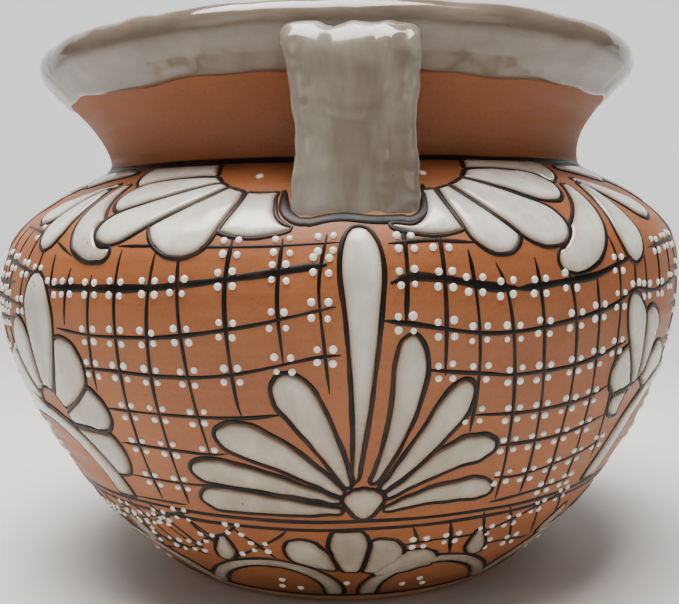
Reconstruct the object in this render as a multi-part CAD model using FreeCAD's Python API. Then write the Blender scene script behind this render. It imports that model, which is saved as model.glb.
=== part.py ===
"""Round talavera flower vase with a flared neck and two strap handles.

Red earthenware built from thrown sections, with raised white enamel petals, black slip
lines and a thick glazed lip. Lengths are in millimetres and angles in degrees. +Z is up,
the foot stands on z = 0, the vase's axis is the Z axis and the front handle faces -Y.

Decoration is placed by azimuth (0 at the front handle, growing towards +X) and by arc
height: the distance along the outer profile from the foot's edge. A motif's own points are
(across, arc height), where across is measured in millimetres around the wall.
"""
import bisect
import math
import os

import FreeCAD
import Part
from FreeCAD import Vector

# ---- Overall sizes: radii and stacked heights of the outer profile ----
FOOT_R = 78.0
BELLY_R = 150.0
SHOULDER_R = 110.0
NECK_STEP = 4.6
COLLAR_FLARE = 20.0
RIM_OVERHANG = 5.6
BOWL_H = 124.0
SHOULDER_H = 46.5
CORNER_H = 6.5
COLLAR_H = 31.0
RIM_H = 14.2

# ---- Shape of the profile's curves: handle lengths as shares of their own span ----
BOWL_START = 0.25
BOWL_START_ANGLE = 30.3
BOWL_END = 0.37
SHOULDER_START = 0.55
SHOULDER_END = 0.45
SHOULDER_END_ANGLE = 27.1
COLLAR_START = 0.33
COLLAR_END = 0.34
COLLAR_END_ANGLE = 42.7

# ---- Clay ----
WALL = 8.0
BASE_T = 8.5
FOOT_RECESS = 2.5
FOOT_RING_W = 10.0
FOOT_RING_H = 6.0
LIP_BEAD_R = 6.7
NECK_SEAM_RISE = 2.0
RIM_SEAM_RISE = 1.0

# ---- Handles ----
HANDLE_W = 43.0
HANDLE_T = 11.0
HANDLE_STANDOFF = 7.5
HANDLE_DROP = 6.0
HANDLE_BEND_R = 7.0
HANDLE_EDGE = 5.0
HANDLE_FLUTE = 1.5
HANDLE_LOBES = 3
HANDLE_FOOT_DEPTH = 30.0
HANDLE_LINE_W = 3.4

# ---- Glaze and slip ----
ENAMEL_T = 0.9
SLIP_T = 0.5
GLAZE_T = 0.9
LINE_W = 1.7
RIM_GLAZE_WIDTH = 18.0
FOOT_LINE = (10.0, 12.0)
WAIST_LOWER_LINE = (60.8, 62.6)
WAIST_UPPER_LINE = (64.6, 66.4)
NECK_LINE_UNDER = 1.5
NECK_LINE_W = 4.6

# ---- Wall that the motif rows and rings below are drawn for; they stretch with the real wall ----
DRAWN_NECK_ARC = 213.8
DRAWN_BELLY_R = 150.0

# ---- Modelling detail ----
PROFILE_STEPS = 24
PETAL_STEPS = 7
BAND_STEPS = 12
PRISM_DEPTH = 16.0
PETAL_BASE = 0.5
SMALLEST_PAD = 10.0
SHORTEST_RUN = 0.05
SAME_POINT = 0.001

# ---- Derived radii and levels ----
NECK_R = SHOULDER_R - NECK_STEP
COLLAR_R = NECK_R + COLLAR_FLARE
RIM_R = COLLAR_R + RIM_OVERHANG
BELLY_Z = BOWL_H
SHOULDER_Z = BELLY_Z + SHOULDER_H
NECK_Z = SHOULDER_Z + CORNER_H
COLLAR_Z = NECK_Z + COLLAR_H
HEIGHT = COLLAR_Z + RIM_H
FLOOR_Z = FOOT_RECESS + BASE_T
FOOT_RING_R = FOOT_R - FOOT_RING_W
LIP_R = RIM_R - LIP_BEAD_R
LIP_Z = HEIGHT - LIP_BEAD_R
FAR = 2 * (BELLY_R + HEIGHT)
GIRTH_STRETCH = BELLY_R / DRAWN_BELLY_R

# ---- Motifs: (across, arc height) of base and tip, width, widest point as a share of the
# length, sideways bow (positive to the left, seen from base to tip) and taper exponent ----
DAISY_FAN = [
    ((-3, 78.5), (-45.5, 105.5), 13.0, 0.77, -3.0, 0.8),
    ((-1.5, 82.5), (-23.5, 125.5), 12.5, 0.80, -1.5, 0.8),
    ((0.5, 85), (2.5, 175), 12.6, 0.82, -1.5, 1.2),
    ((6.5, 84), (19, 138.5), 10.0, 0.78, -3.0, 0.9),
    ((9.5, 80.5), (38.5, 122), 10.0, 0.75, -1.0, 0.8),
]
DAISY_LOW = [
    ((-4, 70.8), (-54, 75.5), 11.4, 0.80, 0.0, 0.7),
    ((-4.5, 75.5), (-56.5, 89), 11.0, 0.80, -2.0, 0.8),
    ((10.5, 76.5), (49, 98), 11.2, 0.80, 3.5, 0.8),
    ((11, 70.8), (50, 77), 10.2, 0.80, 3.0, 0.8),
]
DAISY_HEART = ((3.5, 67), (3.5, 81), 13.0, 0.60, 0.0, 0.6)

SHELL_DISC = (0, 216, 21.5, 22.5)
SHELL_CENTRE = ((0, 199), (0.5, 171), 29.0, 0.78, 0.0, 0.7)
SHELL_RIGHT = [
    ((12, 200), (49, 168), 18.0, 0.72, -1.5, 0.55),
    ((8, 197), (26, 164.5), 17.0, 0.70, -1.0, 0.6),
    ((17, 204), (55.5, 189), 18.5, 0.65, 3.0, 0.6),
    ((19, 213), (62, 205), 25.0, 0.62, 0.0, 0.5),
]
SHELL_LEFT = [
    ((14, 199), (60.5, 171), 13.5, 0.78, -0.8, 0.6),
    ((9, 196), (33, 167), 26.0, 0.66, 0.0, 0.6),
    ((17, 202), (58.5, 186), 15.0, 0.68, 3.0, 0.6),
    ((19, 213), (57, 205), 26.0, 0.62, 0.0, 0.5),
]

SPRAY_RIGHT = [
    ((0, 197), (0, 158.5), 15.5, 0.70, 0.0, 0.75),
    ((-10.5, 196), (-40, 157.5), 15.5, 0.70, 6.0, 0.7),
    ((1, 201), (32, 178.5), 13.0, 0.72, -2.0, 0.75),
    ((4, 211), (35, 204), 12.0, 0.66, 2.0, 0.7),
]
SPRAY_LEFT = [
    ((0, 198), (9, 166.5), 14.5, 0.70, 0.0, 0.75),
    ((-9, 201), (-30, 163), 14.5, 0.70, 8.0, 0.7),
    ((-2, 202), (29, 180), 12.5, 0.72, -2.0, 0.75),
    ((1, 212), (32, 205), 12.0, 0.66, 2.0, 0.7),
]

# An arched band: centre (across, arc height), half width, height, squareness, widths of the
# band at its top and at its feet
ARCH_LEFT = (-21, 68, 45.0, 37.0, 2.5, 6.0, 9.0)
ARCH_LEFT_DISC = (0, 103, 9.5, 9.5)
ARCH_LEFT_PETALS = [
    ((1, 110), (8.7, 158), 20.0, 0.66, -3.5, 0.6),
    ((6, 107), (29, 133), 20.0, 0.66, -1.0, 0.6),
    ((-3, 109), (-12, 140), 17.0, 0.64, 1.0, 0.6),
    ((8, 103), (37, 110), 18.5, 0.68, 1.0, 0.6),
    ((-6.5, 107.5), (-31.5, 124), 16.0, 0.66, 0.0, 0.65),
    ((10.5, 99), (33, 83.5), 22.0, 0.64, 1.0, 0.6),
    ((-9.5, 103.5), (-39.5, 110), 15.0, 0.68, 0.0, 0.65),
]
ARCH_RIGHT = (41, 68, 45.0, 47.0, 2.5, 6.0, 9.0)
ARCH_RIGHT_DISC = (2, 104, 8.0, 8.0)
ARCH_RIGHT_PETALS = [
    ((-1.5, 111), (-16.5, 147), 12.0, 0.70, -1.5, 0.7),
    ((-1, 116), (-21.5, 121), 18.0, 0.60, 0.0, 0.6),
    ((-2, 111), (-14, 102), 13.0, 0.60, 0.0, 0.6),
    ((0, 112), (1, 141.5), 16.0, 0.72, -1.0, 0.7),
    ((1, 112), (26, 120), 19.0, 0.60, 0.0, 0.6),
]

FOOT_ARCH = (30.5, 13, 27.5, 27.0, 2.1, 3.4, 6.5)
FOOT_DISC = (0, 22.5, 11.5, 10.0)
FOOT_LEAF = ((48.5, 53), (48, 37), 8.0, 0.60, 0.0, 0.7)
FOOT_PETALS = [
    ((0, 31), (-2, 62.5), 13.5, 0.62, 0.0, 0.6),
    ((4, 31), (13, 54), 15.5, 0.66, -1.0, 0.6),
    ((-3.5, 36), (-22.5, 53), 13.5, 0.66, 1.5, 0.6),
    ((8, 31), (31, 42), 14.0, 0.66, 1.0, 0.6),
    ((-7, 31), (-27, 43.5), 15.0, 0.66, 0.0, 0.6),
]
FOOT_MOTIFS = 5

# ---- Places of the motifs: how far the painting is turned from the handles, and azimuths ----
PAINT_TURN = -0.8
RIGHT_SHELL_AT = 10.5
LEFT_SHELL_AT = -12.6
RIGHT_SPRAY_AT = 43.6
LEFT_SPRAY_AT = -45.6
ARCH_RIGHT_AT = 48.6
ARCH_LEFT_AT = -51.4
SIDE_DAISY_AT = 94.0
SIDE_SHELL_AT = 90.0


# ---- Outer profile ----
def polar(length, angle):
    """Return (radius, height) steps of a length at an angle above the horizontal."""
    return length * math.cos(math.radians(angle)), length * math.sin(math.radians(angle))


def bezier(points):
    """Return a Bezier curve in the XZ plane through its (radius, height) control points."""
    curve = Part.BezierCurve()
    curve.setPoles([Vector(r, 0, z) for r, z in points])
    return curve


def profile_curves():
    """Return the outer profile's curves, from the foot's edge up to the collar's end."""
    bowl_dr, bowl_dz = polar(
        BOWL_START * math.hypot(BELLY_R - FOOT_R, BOWL_H), BOWL_START_ANGLE)
    bowl = bezier([
        (FOOT_R, 0), (FOOT_R + bowl_dr, bowl_dz),
        (BELLY_R, BELLY_Z - BOWL_END * BOWL_H), (BELLY_R, BELLY_Z)])
    end_dr, end_dz = polar(
        SHOULDER_END * math.hypot(BELLY_R - SHOULDER_R, SHOULDER_H), SHOULDER_END_ANGLE)
    shoulder = bezier([
        (BELLY_R, BELLY_Z), (BELLY_R, BELLY_Z + SHOULDER_START * SHOULDER_H),
        (SHOULDER_R + end_dr, SHOULDER_Z - end_dz), (SHOULDER_R, SHOULDER_Z)])
    bend_rise = (SHOULDER_R - NECK_R) * math.tan(math.radians(SHOULDER_END_ANGLE))
    corner = bezier([
        (SHOULDER_R, SHOULDER_Z), (NECK_R, SHOULDER_Z + bend_rise), (NECK_R, NECK_Z)])
    out_dr, out_dz = polar(
        COLLAR_END * math.hypot(COLLAR_R - NECK_R, COLLAR_H), COLLAR_END_ANGLE)
    collar = bezier([
        (NECK_R, NECK_Z), (NECK_R, NECK_Z + COLLAR_START * COLLAR_H),
        (COLLAR_R - out_dr, COLLAR_Z - out_dz), (COLLAR_R, COLLAR_Z)])
    return [bowl, shoulder, corner, collar]


def offset_point(curve, parameter, distance):
    """Return the point at a distance outward from a profile curve."""
    point = curve.value(parameter)
    tangent = Vector(*curve.tangent(parameter)[0])
    normal = Vector(tangent.z, 0, -tangent.x)
    return point + normal * distance


def offset_curve(curve, distance):
    """Return a smooth curve at a distance outward from a profile curve."""
    points = [offset_point(curve, i / PROFILE_STEPS, distance) for i in range(PROFILE_STEPS + 1)]
    spline = Part.BSplineCurve()
    spline.interpolate(points)
    return spline


CURVES = profile_curves()


def arc_table():
    """Return the arc height, radius, height and tangent at close steps up the profile."""
    table = []
    total = 0.0
    previous = None
    steps = 10 * PROFILE_STEPS
    for curve in CURVES:
        for i in range(steps + 1):
            point = curve.value(i / steps)
            if previous is not None:
                total += point.distanceToPoint(previous)
            tangent = Vector(*curve.tangent(i / steps)[0])
            table.append((total, point.x, point.z, tangent))
            previous = point
    return table


ARC_TABLE = arc_table()
ARC_KEYS = [row[0] for row in ARC_TABLE]
ARC_NECK = ARC_KEYS[bisect.bisect_left([row[2] for row in ARC_TABLE], SHOULDER_Z)]
ARC_STRETCH = ARC_NECK / DRAWN_NECK_ARC


def wall_at(arc):
    """Return the radius, height and outward (radial, vertical) normal at an arc height."""
    index = min(bisect.bisect_left(ARC_KEYS, arc), len(ARC_TABLE) - 1)
    tangent = ARC_TABLE[index][3]
    return ARC_TABLE[index][1], ARC_TABLE[index][2], (tangent.z, -tangent.x)


def around(azimuth, radius, z):
    """Return the point at an azimuth, radius and height."""
    angle = math.radians(azimuth)
    return Vector(radius * math.sin(angle), -radius * math.cos(angle), z)


# ---- Solids of revolution ----
def line(start, end):
    """Return a straight edge between two (radius, height) points."""
    return Part.makeLine(Vector(start[0], 0, start[1]), Vector(end[0], 0, end[1]))


def revolve(edges):
    """Return the solid swept once around the Z axis by a closed outline."""
    face = Part.Face(Part.Wire(Part.sortEdges(edges)[0]))
    solid = face.revolve(Vector(0, 0, 0), Vector(0, 0, 1), 360)
    return Part.Solid(solid) if solid.ShapeType == "Shell" else solid


def ends(curve):
    """Return the (radius, height) of a curve's two ends."""
    first = curve.value(curve.FirstParameter)
    last = curve.value(curve.LastParameter)
    return (first.x, first.z), (last.x, last.z)


def filled(curves, mouth):
    """Return the solid between the axis and a chain of profile curves that ends at a mouth."""
    bottom = ends(curves[0])[0]
    top = ends(curves[-1])[1]
    edges = [curve.toShape() for curve in curves]
    edges += [line((0, bottom[1]), bottom), line(mouth, (0, mouth[1]))]
    edges.append(line((0, mouth[1]), (0, bottom[1])))
    if top != mouth:
        edges.append(line(top, mouth))
    return revolve(edges)


def slab(low, high):
    """Return a wide disc between two heights."""
    return Part.makeCylinder(FAR, high - low, Vector(0, 0, low))


def layer(low_arc, high_arc, thickness):
    """Return a thin coat on the outer wall between two arc heights."""
    inner = []
    outer = []
    start = 0.0
    for curve in CURVES:
        length = curve.length()
        first = max(low_arc - start, 0.0)
        last = min(high_arc - start, length)
        if last - first > SHORTEST_RUN:
            piece = curve.toBSpline()
            piece.segment(curve.parameterAtDistance(first, 0.0) if first > 0 else 0.0,
                          curve.parameterAtDistance(last, 0.0) if last < length else 1.0)
            inner.append(piece)
            outer.append(coat_curve(piece, thickness))
        start += length
    edges = [piece.toShape() for piece in inner + outer]
    edges.append(line(ends(inner[0])[0], ends(outer[0])[0]))
    edges.append(line(ends(inner[-1])[1], ends(outer[-1])[1]))
    return revolve(edges)


def coat_curve(piece, thickness):
    """Return the curve a coat's thickness outside a stretch of the profile."""
    low = piece.FirstParameter
    span = piece.LastParameter - low
    points = [offset_point(piece, low + span * i / PROFILE_STEPS, thickness)
              for i in range(PROFILE_STEPS + 1)]
    spline = Part.BSplineCurve()
    spline.interpolate(points)
    return spline


def inner_curves():
    """Return the inner profile's curves, a wall's thickness inside the outer ones."""
    return [offset_curve(curve, -WALL) for curve in CURVES]


def envelope():
    """Return the vase's outer form, filled solid up to the collar's mouth."""
    return filled(CURVES, ends(inner_curves()[-1])[1])


def clay_wall():
    """Return the fired clay wall in one piece: foot, bowl, shoulder, collar and lip."""
    inside = inner_curves()
    mouth = ends(inside[-1])[1]
    cavity = filled(inside, mouth).common(slab(FLOOR_Z, HEIGHT))
    cavity = cavity.fuse(Part.makeCylinder(mouth[0], WALL, Vector(0, 0, mouth[1])))
    recess = Part.makeCylinder(FOOT_RING_R, FLOOR_Z)
    return envelope().cut(cavity).cut(recess).fuse(lip_bead()).removeSplitter()


def lip_bead():
    """Return the rolled bead around the mouth."""
    return Part.makeTorus(LIP_R, LIP_BEAD_R, Vector(0, 0, LIP_Z))


# ---- Handles ----
def handle_section(start_r, z):
    """Return the strap's section, with rounded edges and a lobed outer face."""
    half_w = HANDLE_W / 2
    half_t = HANDLE_T / 2
    flat = half_w - HANDLE_EDGE
    valley = half_t - HANDLE_FLUTE

    def at(across, out):
        return Vector(start_r, across, z + out)

    edges = [Part.makeLine(at(-flat, -half_t), at(flat, -half_t))]
    edges.append(Part.Arc(at(flat, -half_t), at(half_w, 0), at(flat, valley)).toShape())
    lobe = 2 * flat / HANDLE_LOBES
    for i in range(HANDLE_LOBES):
        right = flat - i * lobe
        arc = Part.Arc(at(right, valley), at(right - lobe / 2, half_t), at(right - lobe, valley))
        edges.append(arc.toShape())
    edges.append(Part.Arc(at(-flat, valley), at(-half_w, 0), at(-flat, -half_t)).toShape())
    return Part.Wire(edges)


def handle_strap():
    """Return the whole strap along +X, from inside the lip down into the shoulder."""
    out_r = RIM_R + HANDLE_STANDOFF - HANDLE_T / 2
    top_z = HEIGHT - HANDLE_DROP - HANDLE_T / 2
    low_z = SHOULDER_Z - HANDLE_FOOT_DEPTH
    bend_r = out_r - HANDLE_BEND_R
    bend_z = top_z - HANDLE_BEND_R
    turn = HANDLE_BEND_R * math.sqrt(0.5)
    start = Vector(LIP_R, 0, top_z)
    bend_in = Vector(bend_r, 0, top_z)
    bend_mid = Vector(bend_r + turn, 0, bend_z + turn)
    bend_out = Vector(out_r, 0, bend_z)
    path = Part.Wire([
        Part.makeLine(start, bend_in),
        Part.Arc(bend_in, bend_mid, bend_out).toShape(),
        Part.makeLine(bend_out, Vector(out_r, 0, low_z))])
    return path.makePipeShell([handle_section(LIP_R, top_z)], True, False)


def handle_foot_prism(margin):
    """Return an upright block around the strap's foot along +X, grown by a margin."""
    half_w = HANDLE_W / 2 + margin
    out_r = RIM_R + HANDLE_STANDOFF + margin
    in_r = RIM_R + HANDLE_STANDOFF - HANDLE_T - margin
    block = Part.makeBox(out_r - in_r, 2 * half_w, FAR / 4, Vector(in_r, -half_w, BELLY_Z))
    corner = HANDLE_EDGE + margin - HANDLE_FLUTE
    upright = [edge for edge in block.Edges if abs(edge.tangentAt(0).z) > 0.5]
    return block.makeFillet(corner, upright)


def turned(shape, azimuth):
    """Return a shape turned about the vase's axis."""
    copy = shape.copy()
    copy.rotate(Vector(0, 0, 0), Vector(0, 0, 1), azimuth)
    return copy


def flipped(shape):
    """Return a shape mirrored left to right about the front."""
    return shape.mirror(Vector(0, 0, 0), Vector(1, 0, 0))


# ---- Decoration ----
def petal(row, grow):
    """Return a petal's outline: narrow at its base, widest near its round tip.

    Like the other outlines, it is a list of runs of points, grown by a margin.
    """
    base, tip, width, widest, bow, taper = row
    length = math.hypot(tip[0] - base[0], tip[1] - base[1])
    along = ((tip[0] - base[0]) / length, (tip[1] - base[1]) / length)
    left = (-along[1], along[0])
    sides = {1: [], -1: []}
    for side in sides:
        for i in range(1, 2 * PETAL_STEPS):
            t = 0.5 - 0.5 * math.cos(math.pi * i / (2 * PETAL_STEPS))
            if t < widest:
                half = width / 2 * (t / widest) ** taper + PETAL_BASE * (1 - t / widest)
            else:
                half = width / 2 * math.sqrt(1 - ((t - widest) / (1 - widest)) ** 2)
            shift = bow * 4 * t * (1 - t) + side * (half + grow)
            reach = length * t + grow * (2 * t - 1)
            sides[side].append((base[0] + along[0] * reach + left[0] * shift,
                                base[1] + along[1] * reach + left[1] * shift))
    start = (base[0] - along[0] * grow, base[1] - along[1] * grow)
    end = (tip[0] + along[0] * grow, tip[1] + along[1] * grow)
    return [[start] + sides[-1] + [end] + sides[1][::-1] + [start]]


def disc(row, grow):
    """Return an oval's outline."""
    across, arc, half_w, half_h = row
    points = []
    for i in range(2 * BAND_STEPS):
        angle = math.pi * i / BAND_STEPS
        points.append((across + (half_w + grow) * math.cos(angle),
                       arc + (half_h + grow) * math.sin(angle)))
    return [points + points[:1]]


def arch(row, grow):
    """Return the outline of an arched band on a squared oval, wider at its two feet."""
    across, arc, half_w, height, power, top_w, foot_w = row
    outer = []
    inner = []
    for i in range(BAND_STEPS + 1):
        angle = math.pi * i / BAND_STEPS
        x = math.copysign(abs(math.cos(angle)) ** (2 / power), math.cos(angle))
        z = abs(math.sin(angle)) ** (2 / power)
        outer.append((across + (half_w + grow) * x, arc - grow + (height + 2 * grow) * z))
        inner.append((across + (half_w - foot_w - grow) * x,
                      arc - grow + (height - top_w) * z))
    return [outer, inner[::-1]]


def gate(row, grow):
    """Return the outline of an arched band together with the opening under it."""
    return arch(row, grow)[:1]


def on_wall(points, azimuth):
    """Return motif points as points on the outer wall."""
    placed = []
    for across, arc in points:
        radius, z, _ = wall_at(arc * ARC_STRETCH)
        placed.append(around(azimuth + math.degrees(across * GIRTH_STRETCH / radius), radius, z))
    return placed


def spline_edge(points):
    """Return a smooth edge through points."""
    curve = Part.BSplineCurve()
    curve.interpolate(points)
    return curve.toShape()


def prism(kind, row, grow=0.0, azimuth=0.0):
    """Return a motif outline drawn through the wall, square to it at the outline's centre."""
    runs = kind(row, grow)
    flat = [point for run in runs for point in run]
    across = sum(point[0] for point in flat) / len(flat)
    arc = sum(point[1] for point in flat) / len(flat)
    radius, z, (out, up) = wall_at(arc * ARC_STRETCH)
    facing = azimuth + math.degrees(across * GIRTH_STRETCH / radius)
    centre = around(facing, radius, z)
    normal = around(facing, out, up)
    placed = []
    for run in runs:
        points = on_wall(run, azimuth)
        placed.append([point - normal * ((point - centre).dot(normal) + PRISM_DEPTH)
                       for point in points])
    edges = []
    for run, following in zip(placed, placed[1:] + placed[:1]):
        edges.append(spline_edge(run))
        if run[-1].distanceToPoint(following[0]) > SAME_POINT:
            edges.append(Part.makeLine(run[-1], following[0]))
    return Part.Face(Part.Wire(edges)).extrude(normal * (2 * PRISM_DEPTH))


def motif(coat, shapes, keep_clear=()):
    """Return enamel pads for shapes given front to back, a line's width apart.

    Each shape is (outline function, row, whether it is enamel or bare clay).
    """
    pads = []
    fronts = list(keep_clear)
    for kind, row, enamel in shapes:
        if enamel:
            pad = coat.common(prism(kind, row))
            near = [front for front in fronts if pad.BoundBox.intersect(front.BoundBox)]
            if near:
                pad = pad.cut(near)
            pads += [solid for solid in pad.Solids if solid.Volume > SMALLEST_PAD]
        fronts.append(prism(kind, row, LINE_W))
    return Part.makeCompound(pads)


def mirrored(row):
    """Return a motif row mirrored left to right."""
    if isinstance(row[0], tuple):
        base, tip, width, widest, bow, taper = row
        return (-base[0], base[1]), (-tip[0], tip[1]), width, widest, -bow, taper
    return (-row[0],) + row[1:]


def petals(rows):
    """Return petal rows as enamel shapes."""
    return [(petal, row, True) for row in rows]


def shell(coat, rows, sides, keep_clear=()):
    """Return a shell of broad petals hanging from the neck around a bare half disc."""
    shapes = [(disc, SHELL_DISC, False)]
    for row in rows[:3]:
        for side in sides:
            shapes += petals([row if side > 0 else mirrored(row)])
    shapes += petals([SHELL_CENTRE])
    for side in sides:
        shapes += petals([rows[3] if side > 0 else mirrored(rows[3])])
    return motif(coat, shapes, keep_clear)


def half_shell(coat, rows, offset):
    """Return the outer half of a shell that stands an offset to the right of a handle."""
    handle_foot = turned(handle_foot_prism(HANDLE_LINE_W), -90 - offset)
    return shell(coat, rows, (1,), [handle_foot])


def leaf_spray(coat, leaves, shell_rows, gap):
    """Return a spray of leaves, partly behind the shell that stands a gap to its left."""
    fronts = [prism(petal, row, LINE_W, -gap) for row in shell_rows]
    return motif(coat, petals(leaves), fronts)


def arch_flower(coat, band, eye, rows):
    """Return an arched band with an open flower on its shoulder."""
    shapes = [(arch, band, True), (gate, band, False), (disc, eye, False)]
    return motif(coat, shapes + petals(rows))


def foot_flower(coat):
    """Return a flower rising between two arched bands, with a leaf at either side."""
    shapes = []
    for row in (FOOT_ARCH, mirrored(FOOT_ARCH)):
        shapes += [(arch, row, True), (gate, row, False)]
    shapes.append((disc, FOOT_DISC, False))
    shapes += petals([FOOT_LEAF, mirrored(FOOT_LEAF)] + FOOT_PETALS)
    return motif(coat, shapes)


# ---- Assembly ----
def clay_nodes():
    """Return the clay sections, cut from one wall at their seams."""
    wall = clay_wall()
    neck_seam = SHOULDER_Z + NECK_SEAM_RISE
    rim_seam = COLLAR_Z + RIM_SEAM_RISE
    base = Part.makeCylinder(FOOT_RING_R, BASE_T, Vector(0, 0, FOOT_RECESS))
    return {
        "base_disc": base,
        "foot_ring": wall.common(slab(0, FOOT_RING_H)),
        "lower_bowl": wall.common(slab(FOOT_RING_H, BELLY_Z)),
        "shoulder_shell": wall.common(slab(BELLY_Z, neck_seam)),
        "neck_collar": wall.common(slab(neck_seam, rim_seam)),
        "rim_roll": wall.common(slab(rim_seam, HEIGHT + WALL)),
    }


def handle_nodes():
    """Return both handles and the slip line painted around each foot."""
    body = envelope().fuse(lip_bead())
    strap = handle_strap().cut(body)
    slip = layer(ARC_NECK / 2, ARC_NECK, SLIP_T)
    ring = slip.common(handle_foot_prism(HANDLE_LINE_W)).cut(handle_foot_prism(0.0))
    nodes = {}
    for name, azimuth in (("front", 0.0), ("back", 180.0)):
        nodes[name + "_handle"] = turned(strap, azimuth - 90)
        nodes[name + "_handle_line"] = turned(ring, azimuth - 90)
    return nodes


def stretched(ring):
    """Return a painted ring's two edges on the real wall: moved with it, at the same width."""
    low, high = ring
    return low * ARC_STRETCH, low * ARC_STRETCH + high - low


def line_nodes():
    """Return the painted rings around the body."""
    return {
        "foot_line": layer(*stretched(FOOT_LINE), SLIP_T),
        "waist_lower_line": layer(*stretched(WAIST_LOWER_LINE), SLIP_T),
        "waist_upper_line": layer(*stretched(WAIST_UPPER_LINE), SLIP_T),
        "neck_line": layer(ARC_NECK + NECK_LINE_UNDER, ARC_NECK + NECK_LINE_UNDER + NECK_LINE_W,
                           SLIP_T),
    }


def enamel_nodes():
    """Return the raised white motifs, each drawn once and repeated around the wall."""
    gap = LINE_W / 2
    body = layer(stretched(WAIST_UPPER_LINE)[1] + gap, ARC_NECK + NECK_LINE_UNDER, ENAMEL_T)
    foot = layer(stretched(FOOT_LINE)[1] + gap, stretched(WAIST_LOWER_LINE)[0] - gap, ENAMEL_T)
    big_daisy = motif(body, petals([DAISY_HEART] + DAISY_FAN + DAISY_LOW))
    side_daisy = motif(body, petals([DAISY_HEART] + DAISY_FAN[1:4]))
    side_shell = shell(body, SHELL_RIGHT, (1, -1))
    right_shell = half_shell(body, SHELL_RIGHT, RIGHT_SHELL_AT)
    left_shell = flipped(half_shell(body, SHELL_LEFT, -LEFT_SHELL_AT))
    right_gap = RIGHT_SPRAY_AT - RIGHT_SHELL_AT
    left_gap = LEFT_SHELL_AT - LEFT_SPRAY_AT
    right_spray = leaf_spray(body, SPRAY_RIGHT, SHELL_RIGHT, right_gap)
    left_spray = flipped(leaf_spray(body, SPRAY_LEFT, SHELL_LEFT, left_gap))
    right_arch = arch_flower(body, ARCH_RIGHT, ARCH_RIGHT_DISC, ARCH_RIGHT_PETALS)
    left_arch = arch_flower(body, ARCH_LEFT, ARCH_LEFT_DISC, ARCH_LEFT_PETALS)
    flower = foot_flower(foot)
    nodes = {}
    for end, hands, handle_at in (("front", ("left", "right"), 0.0),
                                  ("back", ("right", "left"), 180.0)):
        middle = handle_at + PAINT_TURN
        nodes[end + "_daisy"] = turned(big_daisy, middle)
        nodes[hands[0] + "_shell"] = turned(side_shell, middle - SIDE_SHELL_AT)
        nodes[hands[1] + "_daisy"] = turned(side_daisy, middle + SIDE_DAISY_AT)
        first = end + "_" + hands[0]
        second = end + "_" + hands[1]
        nodes[first + "_shell"] = turned(left_shell, middle + LEFT_SHELL_AT)
        nodes[second + "_shell"] = turned(right_shell, middle + RIGHT_SHELL_AT)
        nodes[first + "_leaf_spray"] = turned(left_spray, middle + LEFT_SPRAY_AT)
        nodes[second + "_leaf_spray"] = turned(right_spray, middle + RIGHT_SPRAY_AT)
        nodes[first + "_arch_flower"] = turned(left_arch, middle + ARCH_LEFT_AT)
        nodes[second + "_arch_flower"] = turned(right_arch, middle + ARCH_RIGHT_AT)
    for i in range(FOOT_MOTIFS):
        nodes["foot_flower_%d" % (i + 1)] = turned(flower, PAINT_TURN + 360.0 * i / FOOT_MOTIFS)
    return nodes


def rim_glaze():
    """Return the thick glaze coat that hangs down from the lip over the collar."""
    total = ARC_KEYS[-1]
    coat = layer(total - RIM_GLAZE_WIDTH, total, GLAZE_T)
    return {"rim_glaze": coat}


def build():
    """Write every node to its own STEP file."""
    os.makedirs("parts", exist_ok=True)
    nodes = {}
    nodes.update(clay_nodes())
    nodes.update(handle_nodes())
    nodes.update(line_nodes())
    nodes.update(enamel_nodes())
    nodes.update(rim_glaze())
    for name, shape in nodes.items():
        shape.exportStep("parts/%s.step" % name)
        print(name, len(shape.Solids), round(shape.Volume / 1000, 2))


build()
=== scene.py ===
"""The looks of a hand-painted talavera vase: clay, raised enamel, brushed slip and thick rim glaze."""
import math
import bmesh
import bpy
import numpy as np
from mathutils import Matrix, Vector, geometry, noise


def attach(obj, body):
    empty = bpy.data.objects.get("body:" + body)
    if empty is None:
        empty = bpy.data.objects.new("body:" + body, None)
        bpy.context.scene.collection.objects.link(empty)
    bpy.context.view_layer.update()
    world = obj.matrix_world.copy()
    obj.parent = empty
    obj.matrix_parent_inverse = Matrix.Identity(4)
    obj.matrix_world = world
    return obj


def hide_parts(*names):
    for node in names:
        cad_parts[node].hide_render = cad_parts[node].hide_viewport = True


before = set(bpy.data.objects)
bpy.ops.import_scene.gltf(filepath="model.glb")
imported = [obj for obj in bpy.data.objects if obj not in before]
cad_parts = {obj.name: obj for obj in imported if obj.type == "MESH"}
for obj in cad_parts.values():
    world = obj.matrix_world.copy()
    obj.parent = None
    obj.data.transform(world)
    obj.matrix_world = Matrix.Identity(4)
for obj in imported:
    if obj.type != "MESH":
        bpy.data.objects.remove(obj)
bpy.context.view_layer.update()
rng = np.random.default_rng(7)

# ---- Sizes, in millimetres ----
MM = 0.001
FOOT_R, BELLY_R, SHOULDER_R, NECK_R, COLLAR_R, RIM_R = 78.0, 150.0, 110.0, 105.4, 125.4, 131.0
BELLY_Z, SHOULDER_Z, NECK_Z, COLLAR_Z, HEIGHT = 124.0, 170.5, 177.0, 208.0, 222.2
WALL = 8.0
LIP_BEAD_R = 6.7
ENAMEL_T = 0.9
LINE_W = 1.7
TURN = -0.8
FLOOR_Z = 11.0
GLAZE_T = 1.15
COAT_EDGE = 1.9
HANDLE_T = 11.0
HANDLE_STANDOFF = 7.5
HANDLE_DROP = 6.0
HANDLE_HALF_W = 21.3
HANDLE_BEND = 9.0
HANDLE_END_Z = 138.0
NET_BOLDNESS = 1.15
DOT_R = 1.22
DOT_ACROSS = 2.45
DOT_ALONG = 2.35
FOOT_TURNS = (0, 72, 144, 216, 288)


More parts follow.
